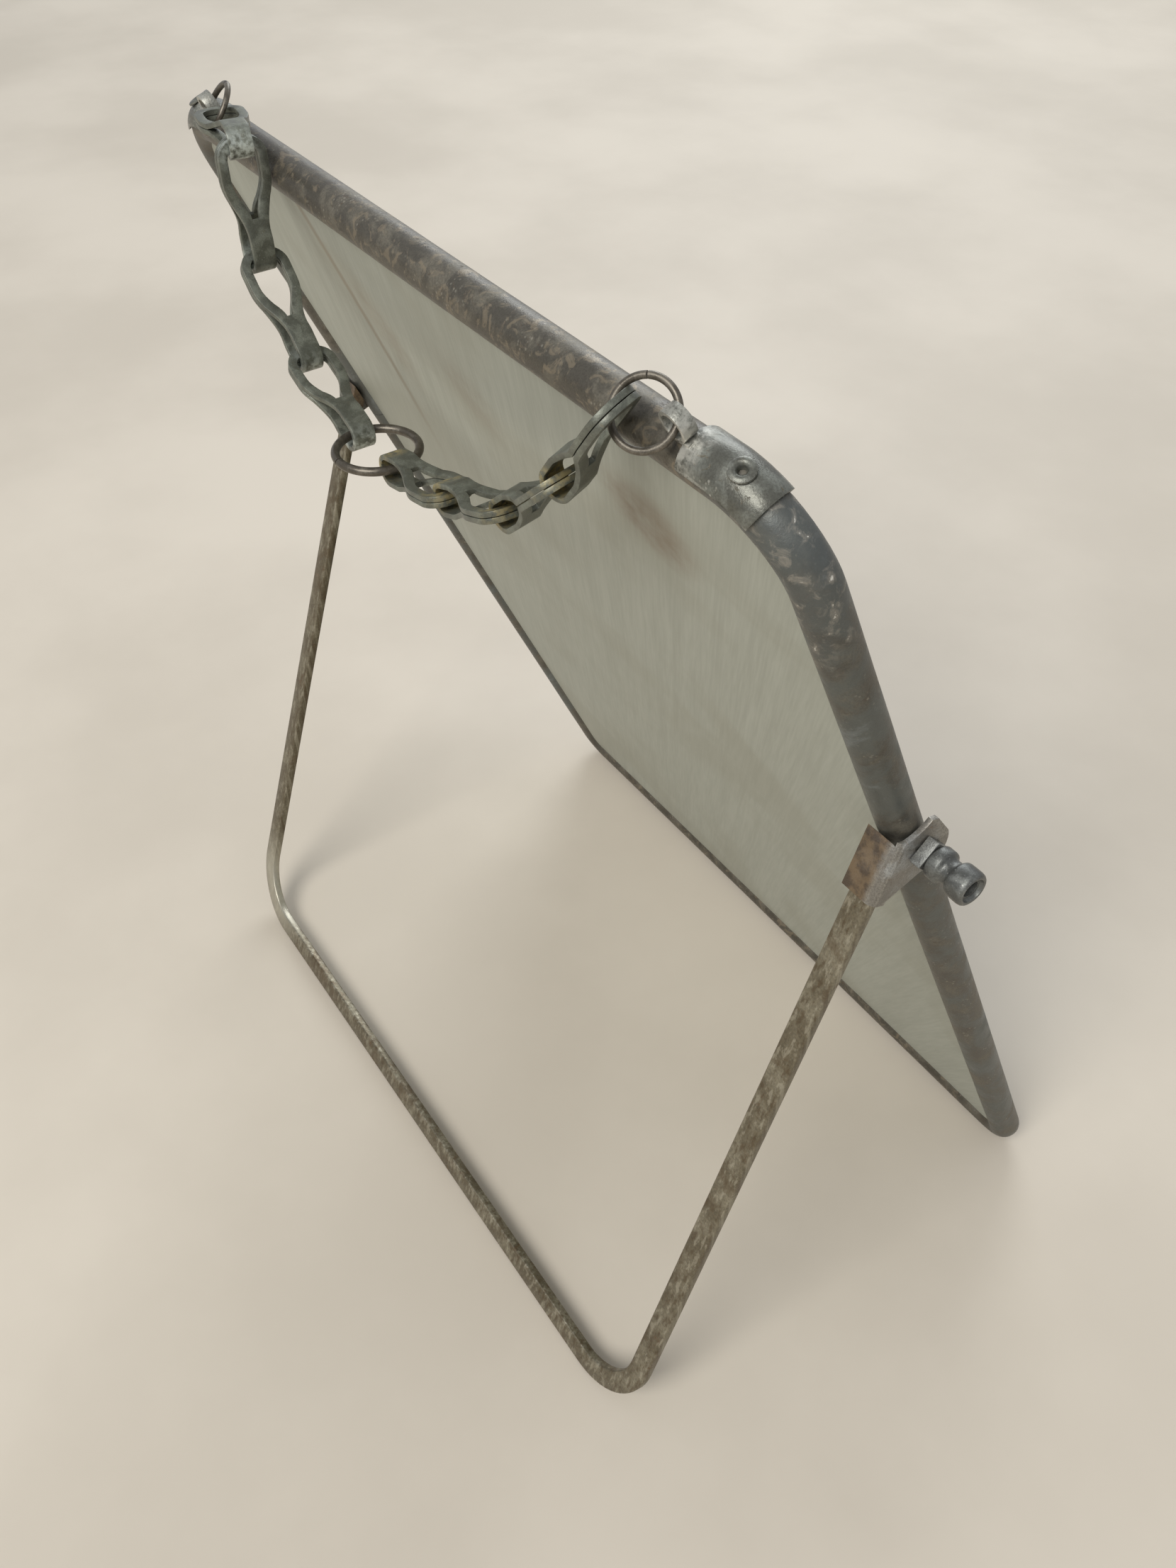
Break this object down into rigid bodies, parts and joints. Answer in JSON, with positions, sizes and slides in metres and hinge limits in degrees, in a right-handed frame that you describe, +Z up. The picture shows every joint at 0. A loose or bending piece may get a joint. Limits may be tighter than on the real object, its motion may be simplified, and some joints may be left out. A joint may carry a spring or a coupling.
{
  "type": "folding shaving mirror",
  "caption": "Rectangular shaving mirror in a rolled metal rim, with a fold-out flat wire stand, thumb nuts and a link chain with a ring for hanging.",
  "frame": {"origin": "middle of the footprint, on the table", "axes": "+Z up, the glass faces -Y and leans back, the stand is at +Y, +X is to the right of a person facing the glass"},
  "size_m": [0.1748, 0.1032, 0.189],
  "materials": {
    "rim_metal": "tarnished nickel plate",
    "mirror_glass": "silvered, bevelled edge",
    "card": "plain",
    "back_plate": "matt grey, brushed",
    "stand_metal": "worn plate over brass",
    "hinge_sheet": "worn plate",
    "nut_metal": "turned, dull",
    "lug_sheet": "folded sheet, tarnished",
    "ring_wire": "dark wire",
    "chain_sheet": "folded strip, tarnished"
  },
  "bodies": {
    "frame": {"frame_upper": "rim_metal", "frame_lower": "rim_metal", "mirror_glass": "mirror_glass", "backing_card": "card", "back_plate": "back_plate", "splice_strip_left": "nut_metal", "pivot_stud_left": "nut_metal", "square_nut_left": "nut_metal", "lug_left": "lug_sheet", "lug_rivet_left": "lug_sheet", "splice_strip_right": "nut_metal", "pivot_stud_right": "nut_metal", "square_nut_right": "nut_metal", "lug_right": "lug_sheet", "lug_rivet_right": "lug_sheet"},
    "stand": {"stand_wire": "stand_metal", "hinge_plate_left": "hinge_sheet", "hinge_plate_right": "hinge_sheet"},
    "thumb_nut_body_left": {"thumb_nut_left": "nut_metal"},
    "end_ring_body_left": {"end_ring_left": "ring_wire"},
    "link_left_1": {"chain_link_left_1": "chain_sheet"},
    "link_left_2": {"chain_link_left_2": "chain_sheet"},
    "link_left_3": {"chain_link_left_3": "chain_sheet"},
    "link_left_4": {"chain_link_left_4": "chain_sheet"},
    "thumb_nut_body_right": {"thumb_nut_right": "nut_metal"},
    "end_ring_body_right": {"end_ring_right": "ring_wire"},
    "link_right_1": {"chain_link_right_1": "chain_sheet"},
    "link_right_2": {"chain_link_right_2": "chain_sheet"},
    "link_right_3": {"chain_link_right_3": "chain_sheet"},
    "link_right_4": {"chain_link_right_4": "chain_sheet"},
    "hanging_ring_body": {"hanging_ring": "ring_wire"}
  },
  "joints": [
    {"name": "stand_fold", "type": "hinge", "parent": "frame", "child": "stand", "pos_m": [0, 0.00406, 0.1224], "axis": [1, 0, 0], "range_deg": [-42.5, 0]},
    {"name": "thumb_nut_turn_left", "type": "hinge", "parent": "frame", "child": "thumb_nut_body_left", "pos_m": [-0.084, 0.00406, 0.1224], "axis": [1, 0, 0], "continuous": true},
    {"name": "end_ring_twist_left", "type": "hinge", "parent": "frame", "child": "end_ring_body_left", "pos_m": [-0.059, 0.03218, 0.18492], "axis": [0.8401, 0.5283, -0.1228], "range_deg": [-2, 2]},
    {"name": "thumb_nut_turn_right", "type": "hinge", "parent": "frame", "child": "thumb_nut_body_right", "pos_m": [0.084, 0.00406, 0.1224], "axis": [1, 0, 0], "continuous": true},
    {"name": "end_ring_twist_right", "type": "hinge", "parent": "frame", "child": "end_ring_body_right", "pos_m": [0.059, 0.03218, 0.18492], "axis": [-0.9782, 0.1932, 0.0765], "range_deg": [-2, 2]},
    {"name": "chain_swing", "type": "hinge", "parent": "frame", "child": "link_right_1", "pos_m": [0.0516, 0.03364, 0.1855], "axis": [0.9996, -0.024, 0.0144], "range_deg": [-0.5, 9]},
    {"name": "chain_swing_far", "type": "hinge", "parent": "frame", "child": "link_left_1", "pos_m": [0.0516, 0.03364, 0.1855], "axis": [0.9996, -0.024, 0.0144], "range_deg": [-0.5, 9]},
    {"name": "chain_bend_right_1", "type": "hinge", "parent": "link_right_1", "child": "link_right_2", "pos_m": [0.03775, 0.03664, 0.18647], "axis": [0, 1, 0], "range_deg": [-2.5, 2.5]},
    {"name": "chain_bend_right_2", "type": "hinge", "parent": "link_right_2", "child": "link_right_3", "pos_m": [0.03761, 0.03664, 0.17027], "axis": [0, 1, 0], "range_deg": [-8.87, 8.87]},
    {"name": "chain_bend_right_3", "type": "hinge", "parent": "link_right_3", "child": "link_right_4", "pos_m": [0.02576, 0.03664, 0.15922], "axis": [0, 1, 0], "range_deg": [-11.32, 11.32]},
    {"name": "chain_bend_left_1", "type": "hinge", "parent": "link_left_1", "child": "link_left_2", "pos_m": [-0.04454, 0.03664, 0.17301], "axis": [0, 1, 0], "range_deg": [-2.2, 2.2]},
    {"name": "chain_bend_left_2", "type": "hinge", "parent": "link_left_2", "child": "link_left_3", "pos_m": [-0.03231, 0.03664, 0.16238], "axis": [0, 1, 0], "range_deg": [-9.42, 9.42]},
    {"name": "chain_bend_left_3", "type": "hinge", "parent": "link_left_3", "child": "link_left_4", "pos_m": [-0.01715, 0.03664, 0.15668], "axis": [0, 1, 0], "range_deg": [-12.39, 12.39]},
    {"name": "hanging_ring_tilt", "type": "hinge", "parent": "link_right_1", "child": "hanging_ring_body", "pos_m": [0.01069, 0.03664, 0.15328], "axis": [1, 0, 0], "range_deg": [-15, 15]}
  ],
  "couplings": [
    {"joint": "chain_swing_far", "follows": "chain_swing", "ratio": 1},
    {"joint": "chain_bend_right_2", "follows": "chain_bend_right_1", "ratio": -3.5298},
    {"joint": "chain_bend_right_3", "follows": "chain_bend_right_1", "ratio": 4.509},
    {"joint": "chain_bend_left_2", "follows": "chain_bend_left_1", "ratio": -4.2604},
    {"joint": "chain_bend_left_3", "follows": "chain_bend_left_1", "ratio": 5.6094}
  ]
}
